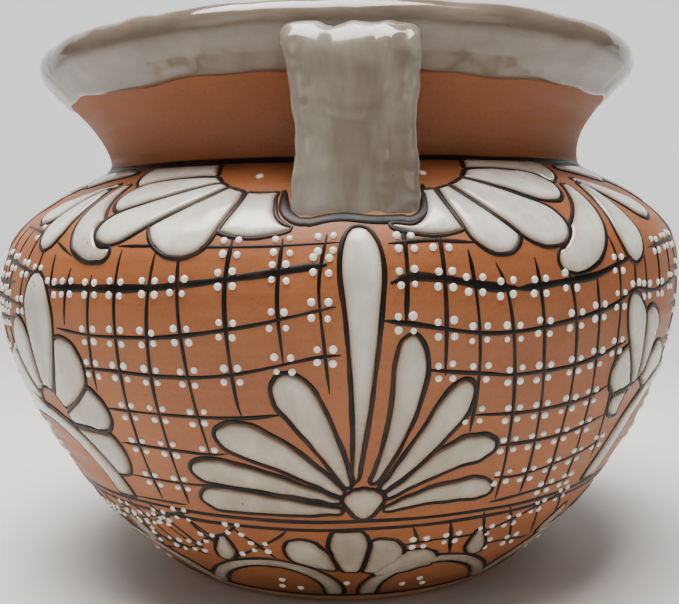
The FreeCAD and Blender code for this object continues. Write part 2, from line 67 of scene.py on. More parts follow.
# ---- The wall: (azimuth in degrees from the front, arc height up the profile) ----
def bezier(points, t):
    """Points on a Bezier curve at parameters t."""
    pts = [np.tile(np.array(p, float), (len(t), 1)) for p in points]
    while len(pts) > 1:
        pts = [a * (1 - t)[:, None] + b * t[:, None] for a, b in zip(pts, pts[1:])]
    return pts[0]


def polar(length, angle):
    """The two sides of a right triangle with the given long side and angle in degrees."""
    return length * math.cos(math.radians(angle)), length * math.sin(math.radians(angle))


def profile():
    """Arc height, radius, height and outward normal at close steps up the outer wall."""
    t = np.linspace(0, 1, 500)
    b = polar(0.25 * math.hypot(BELLY_R - FOOT_R, BELLY_Z), 30.3)
    bowl = [(FOOT_R, 0), (FOOT_R + b[0], b[1]), (BELLY_R, BELLY_Z * 0.63), (BELLY_R, BELLY_Z)]
    h = SHOULDER_Z - BELLY_Z
    e = polar(0.45 * math.hypot(BELLY_R - SHOULDER_R, h), 27.1)
    shoulder = [(BELLY_R, BELLY_Z), (BELLY_R, BELLY_Z + 0.55 * h),
                (SHOULDER_R + e[0], SHOULDER_Z - e[1]), (SHOULDER_R, SHOULDER_Z)]
    rise = (SHOULDER_R - NECK_R) * math.tan(math.radians(27.1))
    corner = [(SHOULDER_R, SHOULDER_Z), (NECK_R, SHOULDER_Z + rise), (NECK_R, NECK_Z)]
    c = polar(0.34 * math.hypot(COLLAR_R - NECK_R, COLLAR_Z - NECK_Z), 42.7)
    collar = [(NECK_R, NECK_Z), (NECK_R, NECK_Z + 0.33 * (COLLAR_Z - NECK_Z)),
              (COLLAR_R - c[0], COLLAR_Z - c[1]), (COLLAR_R, COLLAR_Z)]
    pts = np.concatenate([bezier(k, t)[(0 if i == 0 else 1):]
                          for i, k in enumerate((bowl, shoulder, corner, collar))])
    steps = np.hypot(*np.diff(pts, axis=0).T)
    arc = np.concatenate([[0], np.cumsum(steps)])
    tangent = np.gradient(pts, arc, axis=0)
    tangent /= np.hypot(*tangent.T)[:, None]
    return arc, pts[:, 0], pts[:, 1], tangent[:, 1], -tangent[:, 0]


ARC, RAD, ZED, NOR_R, NOR_Z = profile()
ARC_END = ARC[-1]
ARC_NECK = float(np.interp(SHOULDER_Z, ZED, ARC))
ARC_BELLY = float(np.interp(BELLY_Z, ZED, ARC))


def wobble(theta, s):
    """How far the hand-thrown wall strays outward from a true round."""
    a = np.radians(theta)
    return (0.30 * np.sin(2 * a + 0.6) + 0.20 * np.sin(3 * a + 1.9 + s / 70)
            + 0.10 * np.sin(5 * a + s / 31) + 0.08 * np.sin(s / 4.3 + 0.7 * np.sin(a)))


def wall(theta, s, off=0.0):
    """Points in metres at azimuths, arc heights and distances outward from the wall."""
    theta, s, off = np.broadcast_arrays(np.asarray(theta, float), np.asarray(s, float),
                                        np.asarray(off, float))
    push = off + wobble(theta, s)
    r = np.interp(s, ARC, RAD) + np.interp(s, ARC, NOR_R) * push
    z = np.interp(s, ARC, ZED) + np.interp(s, ARC, NOR_Z) * push
    a = np.radians(theta)
    return np.stack([r * np.sin(a), -r * np.cos(a), z], -1) * MM


# Sideways swell of the wall towards +X: (height, distance) in millimetres
LEAN = np.array([(0, 0), (60, 0), (85, -0.7), (105, -1.4), (125, -1.0), (143, 0.9), (157, 1.6), (165, 2.0),
                 (177, 2.8), (190, 1.1), (205, 0.0), (222, 0.1)], float)


def lean(points):
    """Points in metres moved to the thrown form's own sideways swell."""
    points = np.array(points, float)
    side = points[:, 0] ** 2 / np.maximum(points[:, 0] ** 2 + points[:, 1] ** 2, 1e-9)
    points[:, 0] += np.interp(points[:, 2] / MM, LEAN[:, 0], LEAN[:, 1]) * side * MM
    return points


def radius_at(s):
    """Radius of the outer wall at an arc height."""
    return np.interp(s, ARC, RAD)


def on_profile(co):
    """Azimuth, arc height and outward distance of points given in metres."""
    p = co / MM
    r = np.hypot(p[:, 0], p[:, 1])
    step = slice(None, None, 4)
    d = (r[:, None] - RAD[step]) ** 2 + (p[:, 2][:, None] - ZED[step]) ** 2
    i = np.arange(len(RAD))[step][d.argmin(1)]
    off = (r - RAD[i]) * NOR_R[i] + (p[:, 2] - ZED[i]) * NOR_Z[i]
    along = -(r - RAD[i]) * NOR_Z[i] + (p[:, 2] - ZED[i]) * NOR_R[i]
    return np.degrees(np.arctan2(p[:, 0], -p[:, 1])), ARC[i] + along, off


# ---- Mesh making ----
def add_mesh(name, verts, faces, material, replaces=(), edge=None, smooth=True):
    """Make a named piece from vertices in metres and faces, riding on the root body."""
    mesh = bpy.data.meshes.new(name)
    verts = lean(verts)
    mesh.from_pydata([tuple(v) for v in verts], [], [tuple(int(i) for i in f) for f in faces])
    mesh.polygons.foreach_set("use_smooth", [smooth] * len(mesh.polygons))
    if edge is not None:
        attribute = mesh.attributes.new("edge", "FLOAT", "POINT")
        attribute.data.foreach_set("value", np.asarray(edge, np.float32))
    mesh.update()
    piece = bpy.data.objects.new(name, mesh)
    bpy.context.scene.collection.objects.link(piece)
    mesh.materials.append(material)
    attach(piece, "root")
    if replaces:
        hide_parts(*replaces)
    return piece


def grid_faces(rows, cols, wrap):
    """Quads of a grid of vertices stored row by row, closed round each row if wrap is true."""
    last = cols if wrap else cols - 1
    i, j = np.meshgrid(np.arange(rows - 1), np.arange(last), indexing="ij")
    a = i * cols + j
    b = i * cols + (j + 1) % cols
    return np.stack([a, b, b + cols, a + cols], -1).reshape(-1, 4)


def lathe_points(rows, count):
    """Points of (radius, height) rows turned once around the axis."""
    a = np.linspace(0, 2 * math.pi, count, endpoint=False)
    rows = np.asarray(rows, float)
    r, z = rows[:, 0][:, None], rows[:, 1][:, None]
    out = np.stack([r * np.sin(a), -r * np.cos(a), z + 0 * a], -1)
    return out.reshape(-1, 3) * MM


def join(parts):
    """One vertex list and face list from several."""
    verts, faces, base = [], [], 0
    for v, f in parts:
        verts.append(v)
        faces += [tuple(int(i) + base for i in face) for face in f]
        base += len(v)
    return np.concatenate(verts), faces


# ---- Materials ----
def new_material(name):
    """An empty material with its node tree and main shader."""
    mat = bpy.data.materials.new(name)
    mat.use_nodes = True
    tree = mat.node_tree
    shader = next(n for n in tree.nodes if n.type == "BSDF_PRINCIPLED")
    return mat, tree, shader


def noise_node(tree, scale, detail=4.0, rough=0.55, stretch=(1, 1, 1)):
    """A noise value over the object's own coordinates."""
    coords = tree.nodes.new("ShaderNodeTexCoord")
    mapping = tree.nodes.new("ShaderNodeMapping")
    mapping.inputs["Scale"].default_value = stretch
    tex = tree.nodes.new("ShaderNodeTexNoise")
    tex.inputs["Scale"].default_value = scale
    tex.inputs["Detail"].default_value = detail
    tex.inputs["Roughness"].default_value = rough
    tree.links.new(coords.outputs["Object"], mapping.inputs["Vector"])
    tree.links.new(mapping.outputs["Vector"], tex.inputs["Vector"])
    return tex.outputs["Fac"]


def ramp(tree, value, stops):
    """Colours by value."""
    node = tree.nodes.new("ShaderNodeValToRGB")
    while len(node.color_ramp.elements) < len(stops):
        node.color_ramp.elements.new(0.5)
    for element, (place, colour) in zip(node.color_ramp.elements, stops):
        element.position = place
        element.color = tuple(colour) + (1,) if len(colour) == 3 else colour
    tree.links.new(value, node.inputs["Fac"])
    return node.outputs["Color"]


def grey(v):
    """A colour with three equal shares."""
    return (v, v, v)


def mix(tree, factor, a, b, mode="MIX"):
    """Blend two colours."""
    node = tree.nodes.new("ShaderNodeMix")
    node.data_type = "RGBA"
    node.blend_type = mode
    for socket, value in (("Factor", factor), ("A", a), ("B", b)):
        target = [i for i in node.inputs if i.name == socket
                  and i.type == ("VALUE" if socket == "Factor" else "RGBA")][0]
        if isinstance(value, bpy.types.NodeSocket):
            tree.links.new(value, target)
        else:
            target.default_value = value if socket == "Factor" else tuple(value) + (1,)
    return [o for o in node.outputs if o.type == "RGBA"][0]


def bump(tree, shader, layers):
    """Chain bumps of (value, strength, distance in metres)."""
    last = None
    for value, strength, distance in layers:
        node = tree.nodes.new("ShaderNodeBump")
        node.inputs["Strength"].default_value = strength
        node.inputs["Distance"].default_value = distance
        tree.links.new(value, node.inputs["Height"])
        if last is not None:
            tree.links.new(last, node.inputs["Normal"])
        last = node.outputs["Normal"]
    tree.links.new(last, shader.inputs["Normal"])


def rough_from(tree, shader, value, low, high):
    """Drive the roughness between two values by a noise value."""
    node = tree.nodes.new("ShaderNodeMapRange")
    node.inputs["From Min"].default_value = 0.3
    node.inputs["From Max"].default_value = 0.7
    node.inputs["To Min"].default_value = low
    node.inputs["To Max"].default_value = high
    tree.links.new(value, node.inputs["Value"])
    tree.links.new(node.outputs["Result"], shader.inputs["Roughness"])


def terracotta(name, light, dark, low_rough, high_rough):
    """Burnished clay: blotched colour, fine grain, turning lines and small pits."""
    mat, tree, shader = new_material(name)
    blotch = noise_node(tree, 14, 5, 0.6)
    grain = noise_node(tree, 900, 3, 0.6)
    streak = noise_node(tree, 60, 3, 0.5, (0.25, 0.25, 5))
    base = ramp(tree, blotch, [(0.3, dark), (0.68, light)])
    streaks = ramp(tree, streak, [(0.35, grey(0.72)), (0.65, grey(1.0))])
    base = mix(tree, 0.35, base, streaks, "MULTIPLY")
    grains = ramp(tree, grain, [(0.32, grey(0.55)), (0.5, grey(1.0))])
    base = mix(tree, 0.30, base, grains, "MULTIPLY")
    tree.links.new(base, shader.inputs["Base Color"])
    rough_from(tree, shader, streak, low_rough, high_rough)
    shader.inputs["Specular IOR Level"].default_value = 0.32
    bump(tree, shader, [(streak, 0.35, 0.0005), (grain, 0.40, 0.00014)])
    return mat


def glazed(name, light, shade, stain, stain_amount, low_rough, high_rough, pits, edge_tint=None,
           low_shade_tint=None, runs=(1, 1, 0.28), sharp=0.07):
    """Glossy glaze or enamel with soft shading, stained runs, specks and pinholes.

    edge_tint colours the thin borders, and the low tint is painted shade: it darkens and warms the coat
    towards the foot.
    """
    mat, tree, shader = new_material(name)
    soft = noise_node(tree, 45, 4, 0.55)
    run = noise_node(tree, 75, 4, 0.6, runs)
    base = ramp(tree, soft, [(0.32, shade), (0.62, light)])
    base = mix(tree, stain_amount, base, ramp(tree, run, [(0.51 - sharp, stain), (0.51 + sharp, light)]))
    coords = tree.nodes.new("ShaderNodeTexCoord")
    spots = tree.nodes.new("ShaderNodeTexVoronoi")
    spots.inputs["Scale"].default_value = 210
    tree.links.new(coords.outputs["Object"], spots.inputs["Vector"])
    thin = ramp(tree, noise_node(tree, 40, 2, 0.5), [(0.5, grey(0)), (0.62, grey(1))])
    dot = ramp(tree, spots.outputs["Distance"], [(0.0, grey(1)), (0.05, grey(1)), (0.10, grey(0))])
    speck = mix(tree, 1.0, dot, thin, "MULTIPLY")
    base = mix(tree, speck, base, pits)
    if edge_tint is not None:
        edge = tree.nodes.new("ShaderNodeAttribute")
        edge.attribute_name = "edge"
        fade = ramp(tree, edge.outputs["Fac"], [(0.0, grey(0.85)), (0.55, grey(0.22)), (1.0, grey(0.0))])
        base = mix(tree, fade, base, edge_tint)
    # Painted shade: the coat darkens and warms below 150 mm, towards the foot.
    if low_shade_tint is not None:
        place = tree.nodes.new("ShaderNodeSeparateXYZ")
        tree.links.new(coords.outputs["Object"], place.inputs["Vector"])
        rise = tree.nodes.new("ShaderNodeMapRange")
        rise.inputs["From Min"].default_value = 0.085
        rise.inputs["From Max"].default_value = 0.150
        tree.links.new(place.outputs["Z"], rise.inputs["Value"])
        painted_low_shade = ramp(tree, rise.outputs["Result"], [(0.0, low_shade_tint), (1.0, grey(1.0))])
        base = mix(tree, 1.0, base, painted_low_shade, "MULTIPLY")
    tree.links.new(base, shader.inputs["Base Color"])
    rough_from(tree, shader, soft, low_rough, high_rough)
    shader.inputs["Coat Weight"].default_value = 0.35
    shader.inputs["Coat Roughness"].default_value = 0.08
    bump(tree, shader, [(soft, 0.35, 0.0010), (noise_node(tree, 260, 3, 0.5), 0.25, 0.00025),
                        (dot, -0.4, 0.00025)])
    return mat


def brushed(name, dark, worn, wear, low_rough, high_rough):
    """Painted slip: dark where thick, browner where the brush ran dry."""
    mat, tree, shader = new_material(name)
    flow = noise_node(tree, 55, 4, 0.6)
    fine = noise_node(tree, 500, 3, 0.6)
    base = ramp(tree, flow, [(0.38, worn), (0.38 + wear, dark)])
    base = mix(tree, 0.4, base, ramp(tree, fine, [(0.4, grey(0.6)), (0.6, grey(1.0))]), "MULTIPLY")
    tree.links.new(base, shader.inputs["Base Color"])
    rough_from(tree, shader, flow, low_rough, high_rough)
    shader.inputs["Specular IOR Level"].default_value = 0.22
    bump(tree, shader, [(fine, 0.3, 0.0001)])
    return mat


CLAY = terracotta("burnished_clay", (0.37, 0.125, 0.043), (0.255, 0.080, 0.026), 0.38, 0.58)
# The neck clay is the body clay darkened as painted shade under the overhanging rim.
SHADED_NECK_CLAY = terracotta("neck_clay_painted_shade", (0.31, 0.100, 0.035), (0.24, 0.074, 0.025), 0.48, 0.68)
# The raw foot clay is its own lighter clay, brightened further as painted bounce light from the floor below.
RAW_CLAY_AND_BOUNCE = terracotta("raw_clay_and_painted_bounce", (0.85, 0.46, 0.25), (0.66, 0.33, 0.17), 0.75, 0.92)
# The enamel's last colour is painted shade for the lower pads.
ENAMEL = glazed("enamel", (0.79, 0.775, 0.705), (0.52, 0.495, 0.43), (0.42, 0.31, 0.235), 0.26,
                0.14, 0.30, (0.20, 0.10, 0.06), (0.34, 0.20, 0.125), (0.58, 0.52, 0.44))
# Rim glaze colours: the white glaze darkened as painted shade on the overhanging coat; its brown edge and
# stains are its own.
SHADED_RIM_GLAZE = glazed("rim_glaze", (0.195, 0.155, 0.117), (0.140, 0.109, 0.082), (0.110, 0.070, 0.048), 0.45,
             0.07, 0.20, (0.10, 0.055, 0.035), (0.12, 0.060, 0.038), runs=(0.6, 0.6, 1.5), sharp=0.13)
# Handle glaze colours: its own grey-white glaze, darkened further as painted shade.
SHADED_STRAP_GLAZE = glazed("handle_glaze_shaded", (0.285, 0.253, 0.207), (0.195, 0.165, 0.132), (0.138, 0.094, 0.068), 0.55,
               0.07, 0.20, (0.10, 0.055, 0.035), runs=(1, 1, 0.3), sharp=0.12)
DOT = glazed("dot_enamel", (0.86, 0.83, 0.75), (0.74, 0.70, 0.62), (0.60, 0.50, 0.42), 0.10,
             0.18, 0.32, (0.45, 0.36, 0.30))
SLIP = brushed("black_slip", (0.004, 0.003, 0.0025), (0.022, 0.010, 0.006), 0.10, 0.34, 0.50)
OUTLINE = brushed("outline_slip", (0.006, 0.004, 0.003), (0.030, 0.013, 0.007), 0.16, 0.36, 0.55)

# ---- Clay ----
AROUND = 360


def strip_rows(low, high, step):
    """The outer wall between two arc heights."""
    s = np.linspace(low, high, int((high - low) / step) + 1)
    theta = np.linspace(-180, 180, AROUND, endpoint=False)
    pts = wall(theta[None, :], s[:, None])
    return pts.reshape(-1, 3), grid_faces(len(s), AROUND, True)


def inner_rows(low, high, step):
    """(radius, height) rows down the inner wall, above the floor."""
    s = np.linspace(high, low, int((high - low) / step) + 1)
    rows = np.stack([np.interp(s, ARC, RAD) - WALL * np.interp(s, ARC, NOR_R),
                     np.interp(s, ARC, ZED) - WALL * np.interp(s, ARC, NOR_Z)], 1)
    return rows[rows[:, 1] >= FLOOR_Z]


def clay_piece(name, low, high, material, replaces, floor=False):
    """One thrown section: its outer wall, inner wall and, for the lowest, the floor."""
    lining = inner_rows(low, high, 4.0)
    if floor:
        floor_rows = [(lining[-1][0] - 1.5, FLOOR_Z), (40, FLOOR_Z), (0.01, FLOOR_Z)]
        lining = np.concatenate([lining, floor_rows])
    inner = (lathe_points(lining, AROUND), grid_faces(len(lining), AROUND, True))
    verts, faces = join([strip_rows(low, high, 2.0), inner])
    return add_mesh(name, verts, faces, material, replaces)


FOOT_TOP = float(np.interp(6.0, ZED, ARC))
clay_piece("clay_bowl", FOOT_TOP, ARC_BELLY, CLAY, ["lower_bowl"], True)
clay_piece("clay_shoulder", ARC_BELLY, ARC_NECK, CLAY, ["shoulder_shell"])
clay_piece("clay_neck", ARC_NECK, ARC_END, SHADED_NECK_CLAY, ["neck_collar"])
foot_rows = [(0.01, 2.5), (40, 2.6), (66.5, 2.5), (68, 2.0),
             (68.6, 0.6), (69.6, 0.05), (73, 0.0), (77, 0.05)]
foot_part = (lathe_points(foot_rows, AROUND), grid_faces(len(foot_rows), AROUND, True))
foot_wall = strip_rows(0.3, FOOT_TOP, 0.8)
foot_verts, foot_faces = join([foot_part, foot_wall])
add_mesh("foot", foot_verts, foot_faces, RAW_CLAY_AND_BOUNCE, ["foot_ring", "base_disc"])


# ---- Rim glaze: a thick coat with an uneven lower edge, rolled over the lip ----
EDGE_AT = [(-180, 248), (-150, 250), (-120, 248), (-95, 250), (-75, 251), (-62, 250), (-50, 248.5),
           (-38, 248.5), (-25, 249.5), (-15, 250), (0, 250), (12, 249.5), (28, 249), (40, 248.5),
           (52, 248.5), (65, 250), (80, 250.5), (100, 248), (130, 251), (155, 247), (180, 248)]


def edge_arc(theta):
    """Arc height of the glaze coat's wavering lower edge."""
    x, y = np.array(EDGE_AT, float).T
    wave = 0.5 * np.sin(np.radians(theta * 11)) + 0.35 * np.sin(np.radians(theta * 23 + 40))
    return np.interp(theta, x, y) + wave


def rim_mesh():
    """The coat from its lower edge up the collar, over the lip and a little way down inside."""
    theta = np.linspace(-180, 180, 480, endpoint=False)
    low = edge_arc(theta)
    rows, edge = [], []
    for k in np.concatenate([np.linspace(0, 0.12, 7), np.linspace(0.17, 1, 14)]):
        s = low + (ARC_END - 0.8 - low) * k
        d = s - low
        fall = 1 - np.clip(d / COAT_EDGE, 0, 1)
        t = GLAZE_T * np.sqrt(1 - fall ** 2) - 0.15 * fall
        rows.append(wall(theta, s, t))
        edge.append(np.clip(d / 5.0, 0, 1))
    lip_r, lip_z = RIM_R - LIP_BEAD_R - 0.3, HEIGHT - LIP_BEAD_R
    a = np.radians(theta)
    for phi in np.linspace(-47, 205, 44):
        f = math.radians(phi)
        w = wobble(theta, 255.0)
        r = lip_r + (LIP_BEAD_R + 0.2) * math.cos(f) + w
        z = lip_z + (LIP_BEAD_R + 0.5) * math.sin(f) + 0.35 * np.sin(2 * a + 1.0) + 0 * a
        rows.append(np.stack([r * np.sin(a), -r * np.cos(a), z], -1) * MM)
        edge.append(np.ones_like(theta))
    for drop in np.linspace(3, 24, 10):
        r = lip_r - LIP_BEAD_R - 0.2 - 0.55 * drop + 0.0 * a
        z = lip_z - 3.0 - drop + 0 * a
        rows.append(np.stack([r * np.sin(a), -r * np.cos(a), z], -1) * MM)
        edge.append(np.ones_like(theta) * np.clip((24 - drop) / 5, 0, 1))
    pts = np.array(rows)
    normal = np.cross(np.gradient(pts, axis=1), np.gradient(pts, axis=0))
    normal /= np.linalg.norm(normal, axis=2)[..., None] + 1e-12
    flat = pts.reshape(-1, 3)
    shift = Vector((9, 2, 4))
    lumps = np.array([noise.noise(Vector(p) * 55) * 0.55 + noise.noise(Vector(p) * 130 + shift) * 0.22
                      for p in flat]).reshape(pts.shape[:2])
    lumps *= np.clip(np.array(edge), 0, 1)
    pts = pts + normal * (lumps * MM)[..., None]
    return pts.reshape(-1, 3), grid_faces(len(rows), len(theta), True), np.array(edge).ravel()


rim_verts, rim_faces, rim_edge = rim_mesh()
add_mesh("rim_glaze_coat", rim_verts, rim_faces, SHADED_RIM_GLAZE, ["rim_roll", "rim_glaze"],
         rim_edge)


# ---- Handles ----
def handle_mesh(back):
    """A fluted, lumpy strap that leaves the lip level, bends down and drops to the shoulder."""
    out_r = RIM_R + HANDLE_STANDOFF - HANDLE_T / 2
    top_z = HEIGHT - HANDLE_DROP - HANDLE_T / 2
    bend = HANDLE_BEND
    path = [(x, top_z, 0.0, 1.0) for x in np.linspace(118.0, out_r - bend, 9)]
    for f in np.linspace(8, 90, 14):
        g = math.radians(f)
        path.append((out_r - bend + bend * math.sin(g), top_z - bend + bend * math.cos(g),
                     math.sin(g), math.cos(g)))
    path += [(out_r, z, 1.0, 0.0) for z in np.linspace(top_z - bend - 1.6, HANDLE_END_Z, 58)]
    path = np.array(path)
    cols = 96
    u = np.linspace(0, 2 * math.pi, cols, endpoint=False)
    cx = np.sign(np.cos(u)) * np.abs(np.cos(u)) ** (2 / 4.2)
    cy = np.sign(np.sin(u)) * np.abs(np.sin(u)) ** (2 / 2.7)
    rows = []
    for k, (rho, z, nr, nz) in enumerate(path):
        pinch = math.exp(-((z - 178) / 14) ** 2)
        half = HANDLE_HALF_W - 1.7 * pinch + 1.1 / (1 + math.exp(-(z - 201) / 3.0))
        if rho < out_r - 2:
            half += 0.22 * (out_r - 2 - rho)
        side = 0.5 * noise.noise(Vector((z * 0.11, 3.0 + 5 * back, k * 0.05))) + 0.7 * pinch
        x = half * cx + side
        y = 5.7 * cy
        front = np.clip(cy, 0, 1)
        flute = sum(np.exp(-((x - v + 0.8 * math.sin(z / 17)) / 2.6) ** 2) for v in (-7.2, 7.2))
        y = y - 1.5 * flute * front
        rows.append(np.stack([rho + y * nr, x, z + y * nz], -1))
    pts = np.array(rows)
    normal = np.cross(np.gradient(pts, axis=0), np.gradient(pts, axis=1))
    normal /= np.linalg.norm(normal, axis=2)[..., None] + 1e-9
    centre = np.stack([path[:, 0], 0 * path[:, 0], path[:, 1]], 1)[:, None, :]
    if ((pts - centre) * normal).sum() < 0:
        normal = -normal
    seed = Vector((31.0 * back, 7.0, 2.0))
    lumps = np.array([noise.noise(Vector((p[0] * 0.055, p[1] * 0.075, p[2] * 0.075)) + seed) * 0.95
                      + noise.noise(Vector(p) * 0.19 + seed) * 0.55
                      + noise.noise(Vector(p) * 0.42 + seed) * 0.12
                      for p in pts.reshape(-1, 3)]).reshape(pts.shape[:2])
    pts = pts + normal * lumps[..., None]
    way = -1 if back else 1
    out = np.stack([pts[..., 1] * way, -pts[..., 0] * way, pts[..., 2]], -1) * MM
    return out.reshape(-1, 3), grid_faces(len(path), cols, True)


for handle_name, is_back in (("front_handle", 0), ("back_handle", 1)):
    handle_verts, handle_faces = handle_mesh(is_back)
    add_mesh(handle_name + "_glazed", handle_verts, handle_faces, SHADED_STRAP_GLAZE, [handle_name],
             np.ones(len(handle_verts)))


# ---- Enamel outlines, read off the CAD pads ----
def outlines(node):
    """The (azimuth, arc height) loops around the outer faces of a CAD node's raised pads."""
    bm = bmesh.new()
    bm.from_mesh(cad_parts[node].data)
    bmesh.ops.remove_doubles(bm, verts=bm.verts, dist=3e-6)
    bm.verts.ensure_lookup_table()
    co = np.array([v.co for v in bm.verts])
    theta, s, off = on_profile(co)
    raised = off > 0.55 * ENAMEL_T
    outer = {f for f in bm.faces if all(raised[v.index] for v in f.verts)}
    follow = {}
    for e in bm.edges:
        if sum(f in outer for f in e.link_faces) == 1:
            a, b = e.verts[0].index, e.verts[1].index
            follow.setdefault(a, []).append(b)
            follow.setdefault(b, []).append(a)
    bm.free()
    loops, used = [], set()
    for start in follow:
        if start in used:
            continue
        used.add(start)
        halves = []
        for first in follow[start]:
            half, here = [], first
            while here is not None and here not in used:
                used.add(here)
                half.append(here)
                here = next((n for n in follow[here] if n not in used), None)
            halves.append(half)
        loop = [i for half in halves[1:] for i in half][::-1] + [start] + halves[0]
        if len(loop) > 8:
            loops.append(np.stack([theta[loop], s[loop]], 1))
    return loops


def plane_about(path, middle):
    """Azimuths and arc heights as flat millimetres about a middle azimuth."""
    d = (path[:, 0] - middle + 180) % 360 - 180
    return np.stack([np.radians(d) * radius_at(path[:, 1]), path[:, 1]], 1)


def to_plane(loop):
    """A loop as flat millimetres about its own middle, and that middle."""
    a = np.radians(loop[:, 0])
    middle = math.degrees(math.atan2(np.sin(a).mean(), np.cos(a).mean()))
    return plane_about(loop, middle), middle


def from_plane(points, middle):
    """Azimuths and arc heights of flat points about a middle azimuth."""
    return middle + np.degrees(points[:, 0] / radius_at(points[:, 1])), points[:, 1]


def resample(loop, step):
    """A closed loop with evenly spaced points."""
    pts = np.concatenate([loop, loop[:1]])
    length = np.concatenate([[0], np.cumsum(np.hypot(*np.diff(pts, axis=0).T))])
    at = np.linspace(0, length[-1], max(int(length[-1] / step), 6), endpoint=False)
    return np.stack([np.interp(at, length, pts[:, k]) for k in (0, 1)], 1)


def area(points):
    """Signed area of a loop, positive when it runs counterclockwise."""
    x, y = points.T
    return 0.5 * np.sum(x * np.roll(y, -1) - y * np.roll(x, -1))


def border_distance(points, loop):
    """Distance of points to a closed loop."""
    a, b = loop, np.roll(loop, -1, 0)
    ab = b - a
    ap = points[:, None, :] - a[None]
    t = np.clip((ap * ab).sum(2) / np.maximum((ab * ab).sum(1), 1e-9), 0, 1)
    near = ap - t[..., None] * ab
    return np.sqrt((near ** 2).sum(2)).min(1)


def inside(points, loop):
    """Whether points lie in a closed loop."""
    x, y = points[:, 0][:, None], points[:, 1][:, None]
    x1, y1 = loop.T
    x2, y2 = np.roll(loop, -1, 0).T
    cross = (y1 > y) != (y2 > y)
    at = x1 + (y - y1) * (x2 - x1) / np.where(np.abs(y2 - y1) < 1e-9, 1e-9, y2 - y1)
    return (cross & (x < at)).sum(1) % 2 == 1


def normals_of(loop):
    """Outward normals of a loop that runs counterclockwise."""
    d = np.roll(loop, -1, 0) - np.roll(loop, 1, 0)
    d /= np.maximum(np.hypot(*d.T), 1e-9)[:, None]
    return np.stack([d[:, 1], -d[:, 0]], 1)


def puffy(loop, middle, seed):
    """Vertices, faces and edge shares of a pad that swells from its border."""
    out = normals_of(loop)
    rings = [loop]
    for depth in (0.35, 0.9):
        ring = loop - out * depth
        keep = border_distance(ring, loop) > 0.85 * depth
        rings.append(ring[keep])
    low, high = loop.min(0), loop.max(0)
    gx, gy = np.meshgrid(np.arange(low[0], high[0], 1.7), np.arange(low[1], high[1], 1.7))
    spots = np.stack([gx.ravel(), gy.ravel()], 1)
    spots += 0.35 * np.sin(spots[:, ::-1] * 5.1)
    spots = spots[inside(spots, loop)]
    if len(spots):
        rings.append(spots[border_distance(spots, loop) > 1.5])
    points = np.concatenate(rings)
    flat, _, faces, _, _, _ = geometry.delaunay_2d_cdt(
        [Vector(p) for p in points], [], [list(range(len(loop)))], 1, 1e-4)
    flat = np.array([tuple(p) for p in flat])
    d = border_distance(flat, loop)
    height = 1.05 * (1 - np.exp(-d / 0.55)) - 0.08
    theta, s = from_plane(flat, middle)
    base = wall(theta, s, 0.0)
    wave = np.array([noise.noise(Vector(p) * 120 + Vector((seed, 0, 0))) for p in base])
    height = height + 0.16 * wave * np.clip(d / 2, 0, 1) - 0.10 * np.exp(-((d - 2.6) / 1.4) ** 2)
    return wall(theta, s, height), faces, np.clip(d / 2.4, 0, 1)


def bead(paths, height):
    """Brushed lines on the wall; each path is (azimuths, arc heights, widths, closed)."""
    parts = []
    shape = ((-0.5, -0.12), (-0.36, 0.6), (-0.14, 0.95), (0.14, 0.95), (0.36, 0.6), (0.5, -0.12))
    for theta, s, width, closed in paths:
        c = wall(theta, s, 0.0)
        n = wall(theta, s, 1.0) - c
        n /= np.linalg.norm(n, axis=1)[:, None]
        if closed:
            t = np.roll(c, -1, 0) - np.roll(c, 1, 0)
        else:
            t = np.gradient(c, axis=0)
        t /= np.maximum(np.linalg.norm(t, axis=1), 1e-9)[:, None]
        side = np.cross(n, t)
        w = np.broadcast_to(width, len(c))[:, None] * MM
        lift = height * MM * np.clip(w / (1.2 * MM), 0.35, 1)
        rows = np.stack([c + side * (a * w) + n * (b * lift) for a, b in shape], 1)
        cols = len(shape)
        if closed:
            rows = np.concatenate([rows, rows[:1]])
        parts.append((rows.reshape(-1, 3), grid_faces(len(rows), cols, False)))
    return join(parts)


def brush_width(count, width, seed, ends):
    """A brush's wandering width, thinning at free ends."""
    i = np.arange(count)
    w = width * (1 + 0.16 * np.sin(i * 0.11 + seed) + 0.10 * np.sin(i * 0.37 + 2.3 * seed))
    if ends:
        near = np.minimum(i, count - 1 - i)
        w = w * np.clip(0.35 + near / 6, 0, 1)
    return w


ENAMEL_NODES = sorted(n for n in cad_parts
                      if any(k in n for k in ("daisy", "shell", "leaf_spray", "arch_flower", "foot_flower"))
                      and n != "shoulder_shell")
pads = []
gates = []
outline_paths = {}
for node in ENAMEL_NODES:
    parts, shares, node_pads = [], [], []
    for k, raw in enumerate(outlines(node)):
        loop, middle = to_plane(raw)
        if area(loop) < 0:
            loop = loop[::-1]
        if area(loop) < 6:
            continue
        loop = resample(loop, 0.8)
        verts, faces, share = puffy(loop, middle, 3.0 * k)
        parts.append((verts, faces))
        shares.append(share)
        node_pads.append((middle, loop))
        path = loop + normals_of(loop) * (0.46 * LINE_W)
        seed = 1.7 * k + len(pads)
        width = brush_width(len(path), LINE_W - 0.05, seed, False)
        theta, s = from_plane(path, middle)
        outline_paths.setdefault("lower" if "foot" in node else node.split("_")[0], []).append(
            (theta, s, width, True))
    verts, faces = join(parts)
    add_mesh("enamel_" + node, verts, faces, ENAMEL, [node], np.concatenate(shares))
    bands = sorted(node_pads, key=lambda p: -(np.ptp(p[1][:, 0])))
    if "arch_flower" in node:
        gates += bands[:1]
    if "foot_flower" in node:
        gates += bands[:2]
    pads += node_pads
for group, paths in outline_paths.items():
    verts, faces = bead(paths, 0.42)
    add_mesh("outlines_" + group, verts, faces, OUTLINE, ())

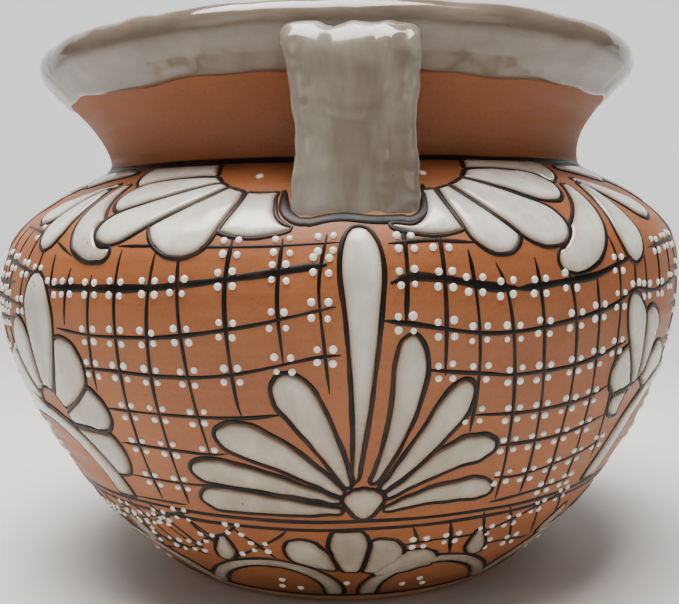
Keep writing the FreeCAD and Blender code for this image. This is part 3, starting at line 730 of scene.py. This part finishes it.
# ---- Rings ----
RINGS = [("foot_line", 11.0, 2.0), ("waist_lower_line", 61.7, 1.8), ("waist_upper_line", 65.5, 1.8),
         ("neck_line", 217.0, 3.7)]
for ring_name, s_mid, ring_w in RINGS:
    theta = np.linspace(-180, 180, 720, endpoint=False)
    a = np.radians(theta)
    s = s_mid + 0.35 * np.sin(3 * a + s_mid) + 0.2 * np.sin(8 * a) + 0.12 * np.sin(19 * a + 1)
    width = ring_w * (1 + 0.12 * np.sin(7 * a + s_mid) + 0.08 * np.sin(23 * a))
    verts, faces = bead([(theta, s, width, True)], 0.4)
    add_mesh(ring_name + "_brushed", verts, faces, SLIP, [ring_name])


def foot_outline(way):
    """The thick slip line painted round a handle's foot, as (azimuths, arc heights, widths, closed)."""
    half, reach, corner = 23.0, 139.9, 7.0
    left_end, right_end = 126.0, 124.0
    pts = [(-half, y) for y in np.linspace(left_end, reach - corner, 10)]
    pts += [(-half + corner - corner * math.cos(f), reach - corner + corner * math.sin(f))
            for f in np.linspace(0.1, math.pi / 2, 8)]
    across = np.linspace(-half + corner + 1, half - corner - 1, 26)
    pts += [(x, reach + 0.5 * math.sin(x / 4)) for x in across]
    pts += [(half - corner + corner * math.sin(f), reach - corner + corner * math.cos(f))
            for f in np.linspace(0, math.pi / 2 - 0.1, 8)]
    pts += [(half, y) for y in np.linspace(reach - corner, right_end, 10)]
    x, y = np.array(pts).T
    shoulder = (ARC >= ARC_BELLY) & (ARC <= ARC_NECK + 6)
    s = np.interp(np.hypot(x, y), RAD[shoulder][::-1], ARC[shoulder][::-1])
    theta = np.degrees(np.arctan2(x, y)) + (0 if way > 0 else 180)
    width = 1.4 + 2.8 * np.clip((y - right_end) / 10, 0, 1)
    return theta, s, width, False


for line_node, line_way in (("front_handle_line", 1), ("back_handle_line", -1)):
    verts, faces = bead([foot_outline(line_way)], 0.5)
    add_mesh(line_node + "_brushed", verts, faces, SLIP, [line_node])

# ---- Net of brushed lines: width, then (azimuth, arc height) points ----
ROWS = [
    (1.0, [(-32, 168), (-22, 167.6), (-12, 168), (-1.5, 168.5)]),
    (1.0, [(-46, 170), (-40.5, 164)]),
    (2.3, [(-45, 153), (-35, 153), (-25, 154.5), (-15, 157), (-10, 158.5), (-3, 161.5)]),
    (1.2, [(-43, 139), (-35, 137), (-25, 138), (-15, 141.5), (-10, 143.5), (-2, 148)]),
    (1.2, [(-40, 123.5), (-38, 125), (-25, 124.5), (-15, 126.5), (-5, 131.5), (-1.5, 132.5)]),
    (1.2, [(-36.5, 110.5), (-25, 110), (-15, 111), (-9, 112.8)]),
    (1.1, [(-36, 96), (-22, 95.5), (-17.5, 96.5)]),
    (1.1, [(-38, 80), (-25, 81), (-21, 82)]),
    (1.1, [(-40, 68.5), (-28, 69)]),
    (1.2, [(-63, 177), (-54, 174), (-46, 170.5)]),
    (1.4, [(-66, 163), (-54, 159.5), (-46, 156.5)]),
    (1.2, [(-66, 147.5), (-54, 145.5), (-46, 144)]),
    (1.3, [(4.5, 168), (10, 168.5), (15.5, 167.5)]),
    (2.9, [(4.5, 155.5), (7, 157.3), (10, 156.5), (13, 155), (17, 152.8), (21, 152)]),
    (2.0, [(20.5, 152), (25, 152.5), (33, 154.5), (38, 158), (43, 161.5)]),
    (1.5, [(3.5, 143.5), (7, 142), (17, 138.5), (28, 140), (37, 143.5), (43, 149), (50, 148), (62, 151)]),
    (1.4, [(9, 127.5), (17, 124.5), (22, 123), (32, 125), (42, 130.5)]),
    (1.3, [(15.5, 110), (25, 108.5), (35, 111), (40, 114.5)]),
    (1.3, [(21, 96.5), (33, 96.5), (42, 101)]),
    (1.2, [(22, 82), (28, 81), (39, 85), (44, 89)]),
    (1.2, [(23, 69.5), (35, 71), (41, 72)]),
    (1.3, [(48, 163.5), (56, 165), (66, 167)]),
]
COLUMNS = [
    (1.1, [(-3, 172), (-4, 155), (-3.5, 135), (-3, 120)]),
    (1.1, [(-8.5, 170), (-9, 150), (-8.5, 130)]),
    (1.3, [(-15, 170), (-15.5, 150), (-15, 120), (-14.5, 111)]),
    (1.1, [(-22, 167), (-21.5, 140), (-20.3, 95)]),
    (1.2, [(-25.5, 166), (-26.5, 130), (-27, 90), (-27.5, 70)]),
    (1.2, [(-31, 167), (-31.5, 130), (-32.5, 90), (-33, 70)]),
    (1.1, [(-35.5, 158), (-37, 117)]),
    (1.1, [(-40, 160), (-41, 140)]),
    (1.1, [(-44.5, 165), (-44, 150)]),
    (1.1, [(-48, 173), (-49, 143)]),
    (1.1, [(-52, 175), (-54, 141)]),
    (1.1, [(-57, 175), (-60, 141)]),
    (1.1, [(-62, 176), (-65, 143)]),
    (1.6, [(6.5, 175), (6.6, 160), (6.3, 142)]),
    (1.2, [(11, 173), (11.5, 125)]),
    (1.2, [(14.5, 165), (16, 130), (16, 103)]),
    (1.2, [(18, 161), (19.5, 150), (21.5, 120), (24, 70)]),
    (1.2, [(23.7, 162), (25.2, 135), (27, 105), (29, 70)]),
    (1.2, [(29, 157), (31, 130), (32.5, 95), (34.5, 68.5)]),
    (1.1, [(34, 155), (35.5, 125), (37.5, 95), (40, 70)]),
    (1.1, [(38, 170), (39, 155), (40, 125), (44.5, 80)]),
    (1.1, [(43, 160), (43, 147)]),
    (1.1, [(46, 166), (46.5, 146)]),
    (1.8, [(51, 166), (51.5, 146)]),
    (1.1, [(56, 168), (57, 147)]),
    (1.1, [(61, 168), (62.5, 148)]),
]
FOOT_ROWS = [
    (1.2, [(-19.5, 62), (-23, 55), (-28.5, 49), (-33, 42), (-45, 34)]),
    (1.2, [(-11, 61), (-13, 56), (-17.5, 48), (-22.5, 41), (-27, 37)]),
    (1.1, [(-33, 61), (-42, 52), (-56, 40)]),
    (1.1, [(-45, 60), (-58, 48)]),
    (1.2, [(9, 50), (16, 51.5), (22, 51.5), (28, 54), (36, 60), (44, 65)]),
    (1.1, [(24, 42), (32, 42), (42, 38)]),
]
FOOT_COLUMNS = [
    (1.1, [(-21.5, 61), (-17.3, 50), (-13.8, 39)]),
    (1.1, [(-29.8, 60), (-27.3, 50), (-22.5, 40)]),
    (1.0, [(-37.5, 61), (-35.5, 50), (-31, 41)]),
    (1.0, [(-47, 61), (-43, 46), (-39, 38)]),
    (1.6, [(10.2, 61), (12.3, 49.5)]),
    (1.6, [(16.8, 62), (19.6, 41)]),
    (1.2, [(22.8, 64), (25, 52), (28, 37)]),
    (1.1, [(28, 66), (35.5, 37)]),
    (1.1, [(34, 67), (42, 40)]),
    (1.1, [(40.5, 67), (48, 44)]),
]


def side_net(columns):
    """A plain net for a side that the handles don't face."""
    lines = []
    if columns:
        for i in range(12):
            at = 62.5 + 5.1 * i
            top = 160 + 8 * math.sin(1.3 * i)
            lines.append((1.1, [(at, top), (at + 0.7, 120), (at + 0.2, 70)]))
    else:
        for i in range(7):
            at = 154 - 14.2 * i
            lines.append((1.2, [(58, at + 1), (75, at - 1.5), (95, at + 1.2), (112, at - 1), (124, at)]))
    return lines


def smooth_path(points, step):
    """A flat smooth path through (azimuth, arc height) points, in degrees and millimetres."""
    p = np.array(points, float)
    p = np.concatenate([[2 * p[0] - p[1]], p, [2 * p[-1] - p[-2]]])
    out = []
    for i in range(1, len(p) - 2):
        gap = math.hypot((p[i + 1][0] - p[i][0]) * 2.4, p[i + 1][1] - p[i][1])
        t = np.linspace(0, 1, max(int(gap / step), 3), endpoint=i == len(p) - 3)[:, None]
        a, b, c, d = p[i - 1], p[i], p[i + 1], p[i + 2]
        out.append(0.5 * (2 * b + (c - a) * t + (2 * a - 5 * b + 4 * c - d) * t * t
                          + (3 * b - a - 3 * c + d) * t ** 3))
    return np.concatenate(out)


def hull(points):
    """Convex outline of flat points."""
    pts = sorted(map(tuple, points))
    chains = []
    for run in (pts, pts[::-1]):
        chain = []
        for p in run:
            while len(chain) > 1 and ((chain[-1][0] - chain[-2][0]) * (p[1] - chain[-2][1])
                                      - (chain[-1][1] - chain[-2][1]) * (p[0] - chain[-2][0])) <= 0:
                chain.pop()
            chain.append(p)
        chains += chain[:-1]
    return np.array(chains)


GATE_HULLS = [(middle, hull(loop)) for middle, loop in gates]


def clear_of(path, regions, margin):
    """Which points of a path are outside all the regions by a margin."""
    ok = np.ones(len(path), bool)
    for middle, loop in regions:
        flat = plane_about(path, middle)
        near = (flat > loop.min(0) - margin).all(1) & (flat < loop.max(0) + margin).all(1)
        if near.any():
            hit = inside(flat[near], loop)
            if margin > 0:
                hit |= border_distance(flat[near], loop) < margin
            ok[np.flatnonzero(near)[hit]] = False
    return ok


def crossings(a, b):
    """Points where two paths cross."""
    p, r = a[:-1][:, None], np.diff(a, axis=0)[:, None]
    q, s = b[:-1][None], np.diff(b, axis=0)[None]
    den = r[..., 0] * s[..., 1] - r[..., 1] * s[..., 0]
    den = np.where(np.abs(den) < 1e-12, 1e-12, den)
    t = ((q - p)[..., 0] * s[..., 1] - (q - p)[..., 1] * s[..., 0]) / den
    u = ((q - p)[..., 0] * r[..., 1] - (q - p)[..., 1] * r[..., 0]) / den
    i, j = np.nonzero((t >= 0) & (t <= 1) & (u >= 0) & (u <= 1))
    return [a[k] + t[k, m] * (a[k + 1] - a[k]) for k, m in zip(i, j)]


net_paths = {"front": [], "back": [], "sides": [], "foot": []}
dots = []


def add_net(rows, columns, turn, group):
    """Draw a net turned about the axis, with four dots at each crossing."""
    drawn = []
    for lines in (rows, columns):
        flat = []
        for width, points in lines:
            path = smooth_path(points, 1.3)
            path[:, 0] += turn + TURN
            jitter = rng.normal(0, 1)
            path[:, 1] += 0.35 * np.sin(np.arange(len(path)) * 0.13 + jitter)
            flat.append(path)
            ok = clear_of(path, GATE_HULLS, 0)
            start = None
            for k in range(len(path) + 1):
                good = k < len(path) and ok[k]
                if good and start is None:
                    start = k
                if not good and start is not None:
                    if k - start > 4:
                        run = path[start:k]
                        net_paths[group].append((run[:, 0], run[:, 1],
                                                 brush_width(len(run), NET_BOLDNESS * width, jitter * 3,
                                                             True), False))
                    start = None
        drawn.append(flat)
    for a in drawn[0]:
        for b in drawn[1]:
            for theta, s in crossings(a, b):
                r = radius_at(s)
                for dx, ds in ((-1, -1), (-1, 1), (1, -1), (1, 1)):
                    gx = DOT_ACROSS + rng.normal(0, 0.22)
                    gs = DOT_ALONG + rng.normal(0, 0.22)
                    dots.append((theta + math.degrees(dx * gx / r), s + ds * gs, rng.normal(DOT_R, 0.10)))


add_net(ROWS, COLUMNS, 0, "front")
add_net(ROWS, COLUMNS, 180, "back")
add_net(side_net(False), side_net(True), 0, "sides")
add_net(side_net(False), side_net(True), 180, "sides")
for foot_turn in FOOT_TURNS:
    if foot_turn in (0, 144):
        add_net(FOOT_ROWS, FOOT_COLUMNS, foot_turn, "foot")
    else:
        add_net(FOOT_ROWS[4:], FOOT_COLUMNS[4:], foot_turn, "foot")
for group, paths in net_paths.items():
    verts, faces = bead(paths, 0.30)
    add_mesh("net_" + group, verts, faces, SLIP, ())

# ---- Dots ----
LONE_DOTS = [(-14.7, 204.5), (12.5, 204.5), (-1, 24), (-15.5, 25), (-16.5, 18.3), (-12, 18), (12, 20),
             (15.8, 23.5), (17.4, 18)]
for lone_turn in (0, 180):
    for theta, s in LONE_DOTS[:2]:
        dots.append((theta + lone_turn + TURN, s, 1.5))
for lone_turn in FOOT_TURNS:
    for theta, s in LONE_DOTS[2:]:
        dots.append((theta + lone_turn + TURN, s, 1.35))


def dot_mesh(chosen):
    """Low domes of enamel, each a ring of points under a raised cap."""
    parts = []
    for theta, s, size in chosen:
        rows = []
        for share, rise in ((1.0, -0.1), (0.97, 0.28), (0.80, 0.62), (0.48, 0.86)):
            a = np.linspace(0, 2 * math.pi, 12, endpoint=False)
            u, v = size * share * np.cos(a), size * share * np.sin(a)
            rows.append(wall(theta + np.degrees(u / radius_at(s)), s + v, rise * 0.85 + 0 * a))
        top = wall(np.array([theta]), np.array([s]), np.array([0.80]))
        verts = np.concatenate(rows + [top])
        faces = [tuple(f) for f in grid_faces(4, 12, True)]
        faces += [(36 + k, 36 + (k + 1) % 12, 48) for k in range(12)]
        parts.append((verts, faces))
    return join(parts)


spots = np.array(dots)
ok = clear_of(spots[:, :2], pads, 1.1)
spots = spots[ok]
side = (spots[:, 0] + 180) % 360 - 180
for group, chosen in (("front", spots[np.abs(side) < 65]), ("back", spots[np.abs(side) > 115]),
                      ("sides", spots[(np.abs(side) >= 65) & (np.abs(side) <= 115)])):
    verts, faces = dot_mesh(chosen)
    add_mesh("dots_" + group, verts, faces, DOT, ())

# ---- Floor, backdrop, light and camera ----
stage_rows = [(y, 0.0) for y in (-4.0, -1.0, 0.0, 0.8, 1.4)]
stage_rows += [(1.4 + 1.1 * math.sin(f), 1.1 - 1.1 * math.cos(f)) for f in np.linspace(0.1, math.pi / 2, 14)]
stage_rows += [(2.5, 2.0), (2.5, 3.2)]
stage_mesh = bpy.data.meshes.new("floor_and_backdrop")
stage_mesh.from_pydata([(x, y, z) for y, z in stage_rows for x in (-4.0, 4.0)], [],
                       [tuple(int(i) for i in f) for f in grid_faces(len(stage_rows), 2, False)])
stage_mesh.polygons.foreach_set("use_smooth", [True] * len(stage_mesh.polygons))
stage_piece = bpy.data.objects.new("floor_and_backdrop", stage_mesh)
bpy.context.scene.collection.objects.link(stage_piece)
stage_mat, stage_tree, stage_shader = new_material("pale_stage")
stage_shader.inputs["Base Color"].default_value = (0.74, 0.74, 0.73, 1)
stage_shader.inputs["Roughness"].default_value = 0.9
stage_coords = stage_tree.nodes.new("ShaderNodeTexCoord")
stage_split = stage_tree.nodes.new("ShaderNodeSeparateXYZ")
stage_tree.links.new(stage_coords.outputs["Object"], stage_split.inputs["Vector"])
stage_glow = stage_tree.nodes.new("ShaderNodeMapRange")
stage_glow.inputs["From Min"].default_value = 0.4
stage_glow.inputs["From Max"].default_value = 2.2
stage_glow.inputs["To Max"].default_value = 0.85
stage_tree.links.new(stage_split.outputs["Y"], stage_glow.inputs["Value"])
stage_shader.inputs["Emission Color"].default_value = (1, 1, 1, 1)
stage_tree.links.new(stage_glow.outputs["Result"], stage_shader.inputs["Emission Strength"])
stage_mesh.materials.append(stage_mat)

world = bpy.data.worlds.new("studio")
world.use_nodes = True
world.node_tree.nodes["Background"].inputs["Color"].default_value = (1.0, 0.99, 0.97, 1)
world.node_tree.nodes["Background"].inputs["Strength"].default_value = 0.11
bpy.context.scene.world = world


def soft_light(name, place, target, size, power, colour):
    """A rectangular area light at a place, facing a target."""
    data = bpy.data.lights.new(name, "AREA")
    data.shape = "RECTANGLE"
    data.size, data.size_y = size
    data.energy = power
    data.color = colour
    lamp = bpy.data.objects.new(name, data)
    bpy.context.scene.collection.objects.link(lamp)
    lamp.location = place
    lamp.rotation_euler = (Vector(target) - Vector(place)).to_track_quat("-Z", "Y").to_euler()


soft_light("overhead", (-0.10, -0.14, 1.12), (0, 0, 0.12), (0.9, 0.7), 35, (1.0, 0.985, 0.95))
soft_light("front_left", (-0.9, -1.1, 0.75), (0, 0, 0.12), (0.5, 0.7), 1.4, (1.0, 0.98, 0.95))
soft_light("front_right", (1.0, -0.9, 0.6), (0, 0, 0.12), (0.4, 0.6), 0.7, (1.0, 0.97, 0.93))

camera_data = bpy.data.cameras.new("camera")
camera = bpy.data.objects.new("camera", camera_data)
bpy.context.scene.collection.objects.link(camera)
camera_data.sensor_width = 36.0
camera_data.lens = 904.65 / 679 * 36.0
camera_data.shift_x = -(340.23 - 339.5) / 679
camera_data.shift_y = 0.0
camera_data.clip_start = 0.01
camera_data.clip_end = 20
turn = math.radians(2.3)
distance, height = 0.42742, 0.15013
pitch, roll = math.radians(5.05), math.radians(0.8915)
look = Vector((math.sin(turn) * math.cos(pitch), math.cos(turn) * math.cos(pitch), -math.sin(pitch)))
right = Vector((math.cos(turn), -math.sin(turn), 0))
up = right.cross(look)
tilt = Matrix.Rotation(roll, 3, look)
right, up = tilt @ right, tilt @ up
basis = Matrix((right, up, -look)).transposed()
place = Matrix.Translation((-distance * math.sin(turn), -distance * math.cos(turn), height))
camera.matrix_world = place @ basis.to_4x4()
bpy.context.scene.camera = camera
